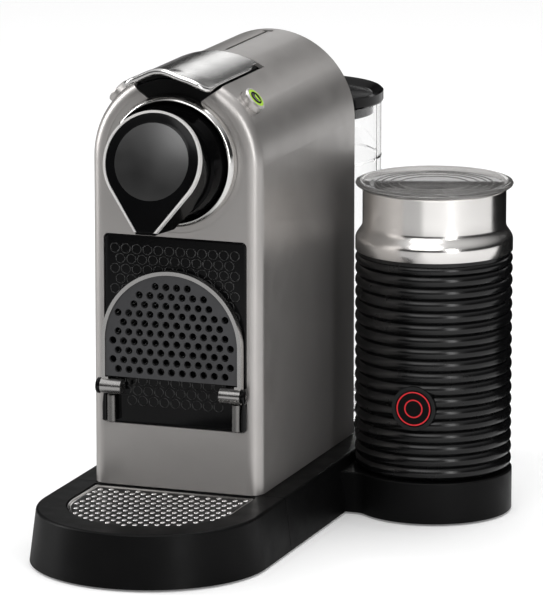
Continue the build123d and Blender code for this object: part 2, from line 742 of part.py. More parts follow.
def jug_button_place(reach):
    """The frame of the frother's button: z points out of the jug's front."""
    return Pos(JUG_X, JUG_Y, JUG_BUTTON_Z) * Rot(0, 0, JUG_BUTTON_TURN) * Pos(0, -reach, 0) * Rot(90, 0, 0)


def jug_body():
    """The ribbed black outside of the milk jug."""
    groove = JUG_R - RIB_DEPTH
    inner = POT_R + 0.6
    hub = 8.0
    edges = [Line((hub, 26.0), (groove - 1.6, 26.0)), Line((groove - 1.6, 26.0), (groove, RIB_FOOT))]
    for i in range(RIB_COUNT):
        low = RIB_FOOT + i * RIB_PITCH
        high = low + RIB_PITCH
        edges.append(ThreePointArc((groove, low), (JUG_R, (low + high) / 2), (groove, high)))
    top = RIB_FOOT + RIB_COUNT * RIB_PITCH
    edges += [
        ThreePointArc((groove, top), (JUG_R, top + 2.6), (groove + 0.6, top + 5.2)),
        Line((groove + 0.6, top + 5.2), (groove + 0.6, BAND_FOOT - 0.2)),
        Line((groove + 0.6, BAND_FOOT - 0.2), (inner, BAND_FOOT - 0.2)),
        Line((inner, BAND_FOOT - 0.2), (inner, 34)),
        Line((inner, 34), (0, 34)),
        Line((0, 34), (0, 31.6)),
        Line((0, 31.6), (hub, 31.6)),
        Line((hub, 31.6), (hub, 26.0)),
    ]
    body = at_jug(revolve(Plane.XZ * make_face(edges), Axis.Z))
    seat = Cylinder(13.2, 12, align=(Align.CENTER, Align.CENTER, Align.MIN))
    return body - jug_button_place(JUG_R - 4.7) * seat


def jug_band():
    """The polished band, shoulder and neck of the jug."""
    return at_jug(turned([
        (45.0, BAND_FOOT), (46.0, BAND_FOOT), (46.0, 161.2), (45.6, 162.8), (43.2, 166.6), (42.2, 168.0),
        (41.9, 169.6), (41.9, BAND_TOP), (POT_R + 0.3, BAND_TOP), (POT_R + 0.3, 167), (44.2, 161.6),
        (45.0, 160.2)]))


def jug_pot():
    """The inner steel pot that the milk goes in, with the post its whisk spins on."""
    inner = POT_R - 1.0
    floor = POT_FLOOR + 1
    return at_jug(turned([(0, POT_FLOOR), (34, POT_FLOOR), (POT_R, POT_FLOOR + 6), (POT_R, BAND_TOP),
                          (inner, BAND_TOP), (inner, POT_FLOOR + 6.6), (33.6, floor), (1.5, floor),
                          (1.5, floor + 8), (0, floor + 8)]))


def whisk():
    """The whisk: a magnetic hub with a stirring ring on four spokes."""
    hub = turned([(1.5 + RUN_FIT, 61.6), (10, 61.6), (11, 63), (10, 66.4), (3.2, 67.6), (3.2, 71),
                  (1.5 + RUN_FIT, 71)])
    for i in range(4):
        hub += Rot(0, 0, 90 * i) * block((9, 17), (-0.8, 0.8), (63.2, 64.8))
    return at_jug(hub + Pos(0, 0, 64) * Torus(18, 2.2))


def drive_magnet():
    """The magnet wheel under the pot that turns the whisk."""
    wheel = turned([(2.2, 54.6), (13, 54.6), (13, 59), (2.2, 59)])
    wheel += rod_z(2.2, 0, 0, (50.4, 58))
    for i in range(4):
        wheel -= Rot(0, 0, 90 * i) * rod_z(2.6, 8, 0, (57, 60))
    return at_jug(wheel)


def whisk_motor():
    """The motor inside the jug's base."""
    motor = rod_z(14, 0, 0, (34.2, 50)) - rod_z(2.25, 0, 0, (44, 51))
    return at_jug(motor)


def jug_heater():
    """The heating ring clamped under the pot."""
    return at_jug(turned([(20, 55.5), (31, 55.5), (31, 59.9), (20, 59.9)]))


def jug_lid():
    """The smoky clear lid of the jug."""
    return at_jug(turned([
        (0, 190.4), (34, 190.4), (36.4, 189.6), (36.4, 183.5), (38.0, 183.5), (38.0, 188.3), (44.8, 188.3),
        (46.0, 189.8), (46.0, 194.6), (45.2, 196.2), (43.6, 197.0), (41, 196.2), (38.6, 193.6),
        (36, 192.8), (0, 192.8)]))


def jug_lid_seal():
    """The soft ring on the lid's plug."""
    return at_jug(turned([(38.0, 184.6), (38.5, 184.9), (38.8, 185.6), (38.5, 186.3), (38.0, 186.6)]))


def lid_clip():
    """The dark clip under the lid that keeps a spare whisk."""
    clip = block((-8, 8), (-5, 5), (184.5, 190.3))
    return at_jug(fillet(clip.edges().filter_by(Axis.Z), 1.5) - rod_z(2, 0, 0, (184, 188)))


def jug_bezel():
    """The dark ring round the frother's button."""
    ring = Cylinder(13.0, 5.0, align=(Align.CENTER, Align.CENTER, Align.MIN)) - Cylinder(10.9, 20)
    return jug_button_place(JUG_R - 4.6) * ring


def jug_button():
    """The frother's round push button."""
    button = Cylinder(10.6, 4.0, align=(Align.CENTER, Align.CENTER, Align.MIN))
    for outer in RED_RINGS:
        button -= Pos(0, 0, 4.4) * (Cylinder(outer, 2) - Cylinder(outer - 0.8, 3))
    return jug_button_place(JUG_R - 3.4) * button


def jug_button_light():
    """The two red rings in the frother's button."""
    rings = []
    for outer in RED_RINGS:
        blank = Cylinder(outer - 0.05, 0.5, align=(Align.CENTER, Align.CENTER, Align.MIN))
        blank -= Cylinder(outer - 0.75, 4)
        rings.append(jug_button_place(JUG_R - 3.4) * Pos(0, 0, 3.42) * blank)
    return rings


# ---------------------------------------------------------------- build and write
outer = base_outer()

save("body_shell", body_shell())
save("rear_panel", rear_panel())
save("case_screws", *case_screws())
save("chassis", chassis())
save("head_ring", head_ring())
save("head_barrel", head_barrel())
save("nose_body", nose_body())
save("nose_bezel", nose_bezel())
save("nose_face", nose_face())
save("coffee_outlet", coffee_outlet())
save("lever_plate", lever_plate())
save("lever_frame", lever_frame())
save("lever_axle", lever_axle())
save("lever_well", lever_well())
save("brew_frame", brew_frame())
save("piercing_plate", piercing_plate())
save("capsule_cage", capsule_cage())
save("cage_carriage", cage_carriage())
for name, side, cup_width in (("small", -1, 2.4), ("large", 1, 3.8)):
    save("coffee_button_" + name, coffee_button(side, cup_width))
    save("light_ring_" + name, light_ring(side))
save("thermoblock", thermoblock())
save("pump", pump())
save("flow_meter", flow_meter())
save("water_hoses", *water_hoses())
save("control_board", control_board())
save("front_panel", front_panel())
save("capsule_container", capsule_container())
save("support_brackets", *support_brackets())
save("support_pins", *support_pins())
save("support_frame", support_frame())
save("support_grid", support_grid())
save("base_body", base_body(outer))
save("underside_cover", underside_cover())
save("frother_plinth", frother_plinth(outer))
save("power_connector", power_connector())
save("rubber_feet", *feet())
save("cable_gland", cable_gland())
save("drip_tray", drip_tray(outer))
save("drip_grid", drip_grid())
save("water_tank", water_tank())
save("tank_lid", tank_lid())
save("tank_valve", tank_valve())
save("valve_cap", valve_cap())
save("valve_spring", valve_spring())
save("tank_socket", tank_socket())
save("jug_body", jug_body())
save("jug_band", jug_band())
save("jug_pot", jug_pot())
save("whisk", whisk())
save("drive_magnet", drive_magnet())
save("whisk_motor", whisk_motor())
save("jug_heater", jug_heater())
save("jug_lid", jug_lid())
save("jug_lid_seal", jug_lid_seal())
save("lid_clip", lid_clip())
save("jug_bezel", jug_bezel())
save("jug_button", jug_button())
save("jug_button_light", *jug_button_light())

os.makedirs("parts", exist_ok=True)
for name, piece in parts.items():
    export_step(ROW * piece, os.path.join("parts", name + ".step"))
    print(name, round(piece.volume, 1))
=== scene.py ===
import json
import math

import bmesh
import bpy
from mathutils import Matrix, Vector


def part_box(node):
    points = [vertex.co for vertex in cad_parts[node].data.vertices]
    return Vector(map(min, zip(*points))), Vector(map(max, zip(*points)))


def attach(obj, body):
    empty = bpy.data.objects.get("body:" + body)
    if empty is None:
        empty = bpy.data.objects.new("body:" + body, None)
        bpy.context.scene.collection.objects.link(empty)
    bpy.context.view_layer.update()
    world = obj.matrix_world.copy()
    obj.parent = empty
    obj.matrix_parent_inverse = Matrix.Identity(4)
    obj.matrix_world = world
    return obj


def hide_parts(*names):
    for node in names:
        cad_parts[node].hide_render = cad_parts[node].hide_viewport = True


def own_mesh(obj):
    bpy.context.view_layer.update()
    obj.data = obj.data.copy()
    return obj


# Looks for a pod coffee machine: satin silver body, black base, chrome lever, ribbed milk frother.

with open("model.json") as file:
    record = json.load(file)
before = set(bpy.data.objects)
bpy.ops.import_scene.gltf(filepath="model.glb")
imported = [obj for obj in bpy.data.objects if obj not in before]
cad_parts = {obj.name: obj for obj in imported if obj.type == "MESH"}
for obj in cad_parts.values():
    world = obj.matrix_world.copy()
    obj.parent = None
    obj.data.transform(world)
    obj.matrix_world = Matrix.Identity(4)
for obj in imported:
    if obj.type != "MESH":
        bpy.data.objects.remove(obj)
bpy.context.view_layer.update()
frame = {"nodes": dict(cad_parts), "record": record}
nodes = frame["nodes"]

MM = 0.001

# ---------------------------------------------------------------- places taken from the frame
shell_low, shell_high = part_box("body_shell")
AXIS_X = (shell_low.x + shell_high.x) / 2
FRONT_Y = shell_low.y
BODY_R = (shell_high.x - shell_low.x) / 2 / MM
ARCH_Z = shell_high.z / MM - BODY_R


def at(x, y, z):
    """A point from millimetres: x from the body's centreline, y from its front, z from the table."""
    return Vector((AXIS_X + x * MM, FRONT_Y + y * MM, z * MM))


# ---------------------------------------------------------------- materials
def link(tree, source, target):
    tree.links.new(source, target)


def noise(tree, scale, detail=3.0, stretch=None):
    """A noise texture in object space, stretched per axis if asked; returns its value socket."""
    place = tree.nodes.new("ShaderNodeTexCoord")
    source = place.outputs["Object"]
    if stretch:
        mapping = tree.nodes.new("ShaderNodeMapping")
        mapping.inputs["Scale"].default_value = stretch
        link(tree, source, mapping.inputs["Vector"])
        source = mapping.outputs["Vector"]
    texture = tree.nodes.new("ShaderNodeTexNoise")
    texture.inputs["Scale"].default_value = scale
    texture.inputs["Detail"].default_value = detail
    link(tree, source, texture.inputs["Vector"])
    return texture.outputs["Fac"]


def spread(tree, value, low, high):
    """Map a noise value to a range."""
    node = tree.nodes.new("ShaderNodeMapRange")
    node.inputs["From Min"].default_value = 0.3
    node.inputs["From Max"].default_value = 0.7
    node.inputs["To Min"].default_value = low
    node.inputs["To Max"].default_value = high
    link(tree, value, node.inputs["Value"])
    return node.outputs["Result"]


def material(name, colour, rough, metallic=0.0, tint=0.1, tint_scale=30.0, rough_vary=0.05,
             rough_scale=80.0, grain=0.0, grain_scale=2500.0, grain_stretch=None, **sockets):
    """A procedural material: mottled colour, uneven roughness and a fine surface grain."""
    mat = bpy.data.materials.new(name)
    mat.use_nodes = True
    tree = mat.node_tree
    shader = tree.nodes["Principled BSDF"]
    shader.inputs["Metallic"].default_value = metallic
    for socket, value in sockets.items():
        shader.inputs[socket.replace("_", " ")].default_value = value
    mix = tree.nodes.new("ShaderNodeMix")
    mix.data_type = "RGBA"
    mix.inputs["A"].default_value = (*[max(0, c * (1 - tint)) for c in colour], 1)
    mix.inputs["B"].default_value = (*[min(1, c * (1 + tint)) for c in colour], 1)
    link(tree, spread(tree, noise(tree, tint_scale), 0, 1), mix.inputs["Factor"])
    link(tree, mix.outputs["Result"], shader.inputs["Base Color"])
    value = noise(tree, rough_scale, 4.0, grain_stretch)
    link(tree, spread(tree, value, max(0.01, rough - rough_vary), rough + rough_vary),
         shader.inputs["Roughness"])
    if grain:
        bump = tree.nodes.new("ShaderNodeBump")
        bump.inputs["Strength"].default_value = 1.0
        bump.inputs["Distance"].default_value = grain * MM
        link(tree, noise(tree, grain_scale, 2.0, grain_stretch), bump.inputs["Height"])
        link(tree, bump.outputs["Normal"], shader.inputs["Normal"])
    return mat


ROUND_Z = (0.02, 0.02, 1.0)

looks = {
    "silver_shell": material("satin_silver", (0.455, 0.437, 0.424), 0.37, metallic=0.82, tint=0.03,
                             rough_vary=0.03, grain=0.006, grain_scale=3500, Coat_Weight=0.1),
    "silver_button": material("button_silver", (0.60, 0.58, 0.565), 0.34, metallic=0.9, tint=0.03,
                              grain=0.004, grain_scale=3500),
    "black_satin": material("satin_black", (0.003, 0.003, 0.0031), 0.38, tint=0.15, grain=0.01,
                            grain_scale=2600, Specular_IOR_Level=0.1),
    "black_gloss": material("gloss_black", (0.0025, 0.0025, 0.0027), 0.12, tint=0.2, rough_vary=0.03,
                            grain=0.0015, grain_scale=900, Specular_IOR_Level=0.2),
    "ring_gloss": material("ring_gloss", (0.004, 0.004, 0.004), 0.16, tint=0.2, rough_vary=0.03,
                           grain=0.001, grain_scale=900, Specular_IOR_Level=0.6),
    "jug_black": material("jug_black", (0.002, 0.002, 0.0022), 0.25, tint=0.2, rough_vary=0.04,
                          grain=0.004, grain_scale=1800, Specular_IOR_Level=0.4),
    "grey_plastic": material("moulded_grey", (0.20, 0.20, 0.21), 0.5, grain=0.01),
    "dark_grey": material("dark_grey_metal", (0.07, 0.07, 0.073), 0.35, metallic=0.6, grain=0.004),
    "bright_chrome": material("bright_chrome", (0.80, 0.79, 0.78), 0.14, metallic=1.0, tint=0.02,
                              rough_vary=0.02, grain=0.001, grain_scale=700),
    "grid_chrome": material("grid_chrome", (0.46, 0.455, 0.45), 0.16, metallic=1.0, tint=0.05,
                            grain=0.004, grain_scale=1500),
    "polished_steel": material("polished_steel", (0.84, 0.82, 0.80), 0.2, metallic=1.0, tint=0.03,
                               rough_vary=0.03, grain=0.002, grain_scale=2600, grain_stretch=ROUND_Z),
    "brushed_pot": material("brushed_pot", (0.60, 0.59, 0.58), 0.28, metallic=1.0, tint=0.04,
                            grain=0.004, grain_scale=2600, grain_stretch=ROUND_Z),
    "zinc_steel": material("plain_steel", (0.55, 0.55, 0.57), 0.3, metallic=1.0, grain=0.003),
    "cast_aluminium": material("cast_aluminium", (0.60, 0.61, 0.62), 0.45, metallic=1.0, grain=0.02,
                               grain_scale=1200),
    "magnet_grey": material("magnet_grey", (0.18, 0.18, 0.19), 0.4, metallic=0.5, grain=0.004),
    "circuit_board": material("circuit_board", (0.02, 0.16, 0.06), 0.35, tint=0.3, tint_scale=300),
    "soft_hose": material("soft_hose", (0.7, 0.69, 0.66), 0.35, tint=0.05, grain=0.004),
    "soft_rubber": material("soft_rubber", (0.03, 0.03, 0.03), 0.7, grain=0.02, grain_scale=1800),
    "clear_tank": material("clear_tank", (1.0, 1.0, 1.0), 0.03, tint=0.01, rough_vary=0.02,
                           Transmission_Weight=1.0, IOR=1.46),
    "smoky_lid": material("smoky_lid", (0.50, 0.49, 0.48), 0.07, tint=0.05, rough_vary=0.02,
                          Transmission_Weight=0.88, IOR=1.45),
    "lever_chrome": material("lever_chrome", (0.80, 0.79, 0.78), 0.19, metallic=1.0, tint=0.02,
                             rough_vary=0.02, grain=0.001, grain_scale=700),
    "ring_chrome": material("ring_chrome", (0.70, 0.69, 0.675), 0.17, metallic=1.0, tint=0.03,
                            grain=0.002, grain_scale=900),
    "bracket_chrome": material("bracket_chrome", (0.55, 0.54, 0.53), 0.22, metallic=1.0, tint=0.04,
                               grain=0.002, grain_scale=900),
    # chrome darkened to a painted shade for the hinge legs and pins
    "shaded_hinge_chrome": material("shaded_hinge_chrome", (0.19, 0.185, 0.18), 0.26, metallic=1.0, tint=0.04,
                            grain=0.002, grain_scale=900),
    "bezel_silver": material("bezel_silver", (0.78, 0.765, 0.75), 0.34, metallic=0.55, tint=0.03,
                             grain=0.002, grain_scale=900),
    "nose_black": material("nose_black", (0.0015, 0.0015, 0.0016), 0.14, tint=0.2, rough_vary=0.03,
                           grain=0.0015, grain_scale=900, Specular_IOR_Level=0.2, IOR=1.22),
    "nose_disc": material("nose_disc", (0.003, 0.003, 0.003), 0.32, tint=0.2, rough_vary=0.03,
                          grain=0.002, grain_scale=1500, Specular_IOR_Level=1.0, IOR=1.7),
    "stud_chrome": material("stud_chrome", (0.72, 0.71, 0.70), 0.1, metallic=1.0, tint=0.05,
                            grain=0.004, grain_scale=1500),
    # near-black metal: painted shade for the dark gaps between the grid's studs
    "grid_painted_shade": material("grid_painted_shade", (0.01, 0.01, 0.01), 0.4, metallic=0.6, grain=0.004),
    "green_light": material("green_light", (0.30, 0.52, 0.008), 0.4, tint=0.1, tint_scale=200,
                            Emission_Color=(0.34, 0.60, 0.004, 1), Emission_Strength=0.13),
    "red_light": material("red_light", (0.45, 0.008, 0.014), 0.35, tint=0.1, tint_scale=200,
                          Emission_Color=(0.60, 0.008, 0.016, 1), Emission_Strength=0.3),
}

# the hinge pins take the chrome darkened with painted shade
own_look = {"support_frame": "bracket_chrome", "support_pins": "shaded_hinge_chrome", "nose_bezel": "bezel_silver",
            "nose_body": "nose_black", "head_barrel": "nose_black"}
for row in frame["record"]["subparts"]:
    mesh = nodes[row["node"]].data
    mesh.materials.clear()
    mesh.materials.append(looks[own_look.get(row["node"], row["material_slot"])])

# ---------------------------------------------------------------- mesh helpers
def keep(name, mesh, look, body, sharp=40):
    """Turn a bmesh in millimetres into a piece that rides on a body."""
    bmesh.ops.recalc_face_normals(mesh, faces=mesh.faces)
    for face in mesh.faces:
        face.smooth = True
    for edge in mesh.edges:
        edge.smooth = edge.calc_face_angle(0) < math.radians(sharp)
    for vert in mesh.verts:
        vert.co = at(*vert.co)
    data = bpy.data.meshes.new(name)
    mesh.to_mesh(data)
    mesh.free()
    data.materials.append(look)
    piece = bpy.data.objects.new(name, data)
    bpy.context.scene.collection.objects.link(piece)
    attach(piece, body)
    return piece


def skin(mesh, loops, closed=True):
    """Join successive loops of points with quads; returns the loops' vertices."""
    rows = [[mesh.verts.new(point) for point in loop] for loop in loops]
    count = len(rows[0])
    for low, high in zip(rows, rows[1:]):
        for i in range(count if closed else count - 1):
            j = (i + 1) % count
            mesh.faces.new((low[i], low[j], high[j], high[i]))
    return rows


def circle(radius, count):
    """Points round a circle."""
    turns = [2 * math.pi * i / count for i in range(count)]
    return [(radius * math.cos(t), radius * math.sin(t)) for t in turns]


def lathe(profile, place, count=48):
    """A closed ring of revolution: (radius, height) points, put in place by a function."""
    mesh = bmesh.new()
    loops = [[place(x, y, height) for x, y in circle(radius, count)] for radius, height in profile]
    skin(mesh, loops + [loops[0]])
    bmesh.ops.remove_doubles(mesh, verts=mesh.verts, dist=0.0005)
    return mesh


def bead(major, minor, height, count=6):
    """The profile of a thin ring with a round section."""
    return [(major + minor * x, height + minor * y) for x, y in circle(1, count)]


def tube(spine, girth, count=10):
    """A bar of round section along a list of points, with closed round ends."""
    mesh = bmesh.new()
    loops = []
    last = len(spine) - 1
    for i, point in enumerate(spine):
        along = (spine[min(last, i + 1)] - spine[max(0, i - 1)]).normalized()
        guide = Vector((0, 1, 0)) if abs(along.z) > 0.9 else Vector((0, 0, 1))
        aside = along.cross(guide).normalized()
        up = aside.cross(along)
        shrink = 0.55 if i in (0, last) else 1
        loops.append([point + (aside * x + up * y) * girth[i] * shrink for x, y in circle(1, count)])
    rows = skin(mesh, loops)
    mesh.faces.new(rows[0])
    mesh.faces.new(rows[-1])
    return mesh


def copy_into(target, source):
    """Move the faces of one bmesh into another."""
    made = {vert: target.verts.new(vert.co) for vert in source.verts}
    for face in source.faces:
        target.faces.new([made[vert] for vert in face.verts])
    source.free()


def staggered(pitch, row, half, low, high, inside):
    """Centres of a staggered pattern, row by row from the top."""
    spots = []
    for j in range(int((high - low) / row) + 1):
        for i in range(int(2 * half / pitch) + 2):
            x = -half + i * pitch + (pitch / 2 if j % 2 else 0)
            if inside(x, high - j * row):
                spots.append((x, high - j * row))
    return spots


# ---------------------------------------------------------------- lever
def lever_sheet():
    """The lever's bright sheet, with round front corners and a raised lip for the fingers."""
    low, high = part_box("lever_plate")
    front = (low.y - FRONT_Y) / MM
    rear = (high.y - FRONT_Y) / MM
    half = (high.x - low.x) / 2 / MM
    radius = BODY_R + 2
    corner = 8.0
    narrow = 1.6
    shoulder = rear - 8.5

    def width(y):
        if y < front + corner:
            return half - corner + math.sqrt(max(0, corner ** 2 - (front + corner - y) ** 2))
        return half - narrow * min(1, max(0, (y - shoulder + 1) / 1.5))

    def lip(x, y):
        ease = min(1, max(0, (front + 19 - y) / 19))
        ease = ease * ease * (3 - 2 * ease)
        rise = 1.3 * (1 + math.cos(math.pi * min(15, abs(x + 3)) / 15))
        return ease * (rise - 1.6 * max(0, (abs(x) - 15) / 11) ** 2)

    rows = [front + d for d in (0, 0.5, 1.4, 2.8, 4.4, 6.2, 8, 11, 14, 17, 23, 31, 41, 51, 61, 71)]
    rows += [shoulder - 1.2, shoulder + 0.6, rear - 3, rear - 0.6, rear]
    steps = [0, 0.12, 0.25, 0.38, 0.5, 0.62, 0.74, 0.85, 0.93, 0.98, 1]
    across = [-u for u in reversed(steps[1:])] + steps
    mesh = bmesh.new()
    grid = []
    for y in sorted(rows):
        line = []
        for u in across:
            x = u * width(y)
            drop = 0.5 * max(0, 1 - (y - front) / 1.4)
            line.append((x, y, ARCH_Z + math.sqrt(radius ** 2 - x * x) + lip(x, y) - drop))
        grid.append(line)
    skin(mesh, grid, closed=False)
    piece = keep("lever_sheet", mesh, looks["lever_chrome"], "lever", sharp=180)
    solid = piece.modifiers.new("thickness", "SOLIDIFY")
    solid.thickness = 2.4 * MM
    solid.offset = -1
    solid.use_even_offset = True
    smooth = piece.modifiers.new("smooth", "SUBSURF")
    smooth.levels = 2
    smooth.render_levels = 2
    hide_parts("lever_plate")

    inset = 0.7
    turns = [math.radians(15 * i) for i in range(1, 6)]
    side = [(half - inset, y) for y in (shoulder - 2, 50, 40, 30, 20, 10, 0, front + corner)]
    bend = [(half - corner + (corner - inset) * math.cos(t), front + corner - (corner - inset) * math.sin(t))
            for t in turns]
    edge = [(half - corner - 2 * i, front + inset) for i in range(10)]
    route = side + bend + edge
    route += [(-x, y) for x, y in reversed(route) if x > 0]
    spine = [Vector((x, y, ARCH_Z + math.sqrt(radius ** 2 - x * x) + lip(x, y) - 1.1)) for x, y in route]
    girth = [0.95 + 0.95 * min(1, max(0, (front + 14 - y) / 13)) for x, y in route]
    rim = keep("lever_rim", tube(spine, girth), looks["lever_chrome"], "lever", sharp=180)
    round_off = rim.modifiers.new("smooth", "SUBSURF")
    round_off.levels = 1
    round_off.render_levels = 1


# ---------------------------------------------------------------- nose
def nose_glass():
    """The nose's black face: a glossy teardrop with a satin domed disc."""
    tilt = math.radians(16)
    box_low, box_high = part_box("nose_face")
    circle_r = (box_high.x - box_low.x) / 2 / MM
    neck = (circle_r - 22.5, -39.8)
    origin = (0.0, -35.8, 229.5)

    def place(a, b, out):
        return (a, origin[1] + b * math.sin(tilt) - out * math.cos(tilt),
                origin[2] + b * math.cos(tilt) + out * math.sin(tilt))

    reach = math.hypot(*neck)
    touch = math.atan2(neck[1], neck[0]) + math.acos(circle_r / reach)
    flank = math.atan2(neck[1], neck[0])

    def edge(angle):
        """Distance from the disc's centre to the teardrop's outline."""
        turn = abs(math.atan2(math.cos(angle), math.sin(angle)))
        turn = math.pi / 2 - turn
        if turn > touch:
            return circle_r
        if turn > flank:
            return circle_r / math.cos(turn - touch)
        return neck[1] / math.sin(turn)

    count = 120
    angles = [2 * math.pi * i / count for i in range(count)]
    angles += [flank, math.pi - flank, touch, math.pi - touch]
    angles = sorted(a % (2 * math.pi) for a in angles)
    disc = 23.6
    crown = 2.2
    mesh = bmesh.new()
    loops = []
    for r in (0.4, 4, 8, 12, 15, 18, 20, 22, disc):
        loops.append([place(r * math.cos(a), r * math.sin(a), crown * (1 - (r / disc) ** 2))
                      for a in angles])
    for inset, out in ((0.5, 0), (0.15, -0.1), (0, -0.4), (0, -2.2)):
        loops.append([place((edge(a) - inset) * math.cos(a), (edge(a) - inset) * math.sin(a), out)
                      for a in angles])
    rows = skin(mesh, loops)
    mesh.faces.new(rows[0])
    mesh.faces.new(rows[-1])
    for face in mesh.faces:
        rim = max(math.hypot(v.co.x, (v.co.z - origin[2]) / math.cos(tilt)) for v in face.verts)
        face.material_index = 1 if rim < disc - 0.05 else 0
    piece = keep("nose_glass", mesh, looks["black_gloss"], "root", sharp=30)
    piece.data.materials.append(looks["nose_disc"])
    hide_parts("nose_face")


# ---------------------------------------------------------------- drawer front
def drawer_front():
    """The drawer's glossy black front, with soft edges and rows of fine raised rings."""
    low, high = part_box("front_panel")
    half = (high.x - low.x) / 2 / MM
    bottom = low.z / MM
    top = high.z / MM
    back = (high.y - FRONT_Y) / MM
    face = (low.y - FRONT_Y) / MM + 0.3

    def outline(inset, y):
        corner = 2.6 - inset
        loop = []
        for cx, cz, start in ((half - 2.6, top - 2.6, 0), (-half + 2.6, top - 2.6, 90),
                              (-half + 2.6, bottom + 2.6, 180), (half - 2.6, bottom + 2.6, 270)):
            for i in range(7):
                turn = math.radians(start + 15 * i)
                loop.append((cx + corner * math.cos(turn), y, cz + corner * math.sin(turn)))
        return loop

    mesh = bmesh.new()
    rows = skin(mesh, [outline(0, back), outline(0, face + 0.8), outline(0.12, face + 0.4),
                       outline(0.45, face + 0.1), outline(0.9, face)])
    mesh.faces.new(rows[0])
    mesh.faces.new(rows[-1])
    panel = keep("drawer_front", mesh, looks["black_gloss"], "capsule_drawer", sharp=50)
    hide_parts("front_panel")
    rings = bmesh.new()
    section = circle(0.36, 6)
    for cx, cz in staggered(6.6, 5.9, 36.5, 78, 171, lambda x, z: abs(x) <= 37 and (abs(x) < 31 or z > 90)):
        loops = []
        for dr, dy in section:
            loops.append([(cx + x, face - dy, cz + z) for x, z in circle(2.72 + dr, 24)])
        skin(rings, loops + [loops[0]])
    bmesh.ops.remove_doubles(rings, verts=rings.verts, dist=0.0005)
    pattern = keep("drawer_rings", rings, looks["ring_gloss"], "capsule_drawer", sharp=180)


def hinge_brackets():
    """The cup support's hinge: black ears on the drawer and a round leg under each, with painted shade."""
    low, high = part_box("support_brackets")
    pin_low, pin_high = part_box("support_pins")
    foot = low.z / MM
    reach = (high.x - low.x) / 2 / MM
    pivot_y = ((pin_low.y + pin_high.y) / 2 - FRONT_Y) / MM
    pivot_z = (pin_low.z + pin_high.z) / 2 / MM
    ears = bmesh.new()
    legs = bmesh.new()
    for side in (-1, 1):
        loops = []
        for radius, x in ((1.6, reach - 2.3), (4.2, reach - 2.3), (4.6, reach - 1.9), (4.6, reach - 0.7),
                          (4.1, reach - 0.2), (1.6, reach)):
            loops.append([(side * x, pivot_y + b, pivot_z + c) for b, c in circle(radius, 32)])
        skin(ears, loops + [loops[0]])
        bar = tube([Vector((side * (reach - 3.2), -2.0, z)) for z in (foot + 0.4, foot + 1, 80, 87)],
                   [1.5, 1.7, 1.7, 1.7], 16)
        copy_into(ears, bar)
        leg = tube([Vector((side * (reach - 7.4), -2.6, z)) for z in (foot, foot + 0.8, 78, 85.6, 86.4)],
                   [2.6, 2.6, 2.6, 2.6, 2.6], 24)
        copy_into(legs, leg)
    bmesh.ops.remove_doubles(ears, verts=ears.verts, dist=0.0005)
    black = keep("hinge_ears", ears, looks["black_gloss"], "capsule_drawer", sharp=40)
    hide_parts("support_brackets")
    # the legs take the chrome darkened with painted shade
    bright = keep("hinge_legs", legs, looks["shaded_hinge_chrome"], "capsule_drawer", sharp=40)


# ---------------------------------------------------------------- drip grid
def drip_grid():
    """The round-ended grid: a bright lip, slanted rows of bright studs and a dark plate of painted shade."""
    low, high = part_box("drip_grid")
    half = (high.x - low.x) / 2 / MM
    front = (low.y - FRONT_Y) / MM
    rear = (high.y - FRONT_Y) / MM
    top = high.z / MM
    centre = front + half

    def outline(inset, z):
        loop = [(-half + inset, rear - inset, z)]
        for i in range(49):
            turn = math.pi + math.pi * i / 48
            loop.append(((half - inset) * math.cos(turn), centre + (half - inset) * math.sin(turn), z))
        loop.append((half - inset, rear - inset, z))
        return loop

    mesh = bmesh.new()
    rows = skin(mesh, [outline(2.4, top - 2), outline(0, top - 2), outline(0, top - 0.4),
                       outline(0.25, top - 0.1), outline(0.6, top), outline(1.1, top - 0.1),
                       outline(1.5, top - 0.5), outline(2.1, top - 0.8), outline(2.4, top - 0.8)])
    mesh.faces.new(rows[0])
    rim = keep("grid_rim", mesh, looks["grid_chrome"], "grid", sharp=50)
    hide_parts("drip_grid")
    # the bed under the studs is a near-black sheet of painted shade
    floor = bmesh.new()
    rows = skin(floor, [outline(2.4, top - 1.6), outline(2.4, top - 0.85), outline(2.9, top - 0.8)])
    floor.faces.new(rows[-1])
    floor.faces.new(rows[0])
    bed = keep("grid_shade_bed", floor, looks["grid_painted_shade"], "grid", sharp=50)

    def inside(x, y):
        reach = half - 3.6
        return y < rear - 3.4 and (math.hypot(x, y - centre) < reach or (y > centre and abs(x) < reach))

    studs = bmesh.new()
    slant = math.radians(20)
    for a, b in staggered(6.2, 5.37, 62, -62, 62, lambda x, y: True):
        cx = a * math.cos(slant) - b * math.sin(slant)
        cy = centre + a * math.sin(slant) + b * math.cos(slant)
        if not inside(cx, cy):
            continue
        loops = [[(cx + x, cy + y, top - 0.85 + rise) for x, y in circle(r, 12)]
                 for r, rise in ((1.6, 0), (1.4, 0.36), (0.9, 0.6), (0.35, 0.68))]
        rows = skin(studs, loops)
        studs.faces.new(rows[-1])
    dots = keep("grid_studs", studs, looks["stud_chrome"], "grid", sharp=180)


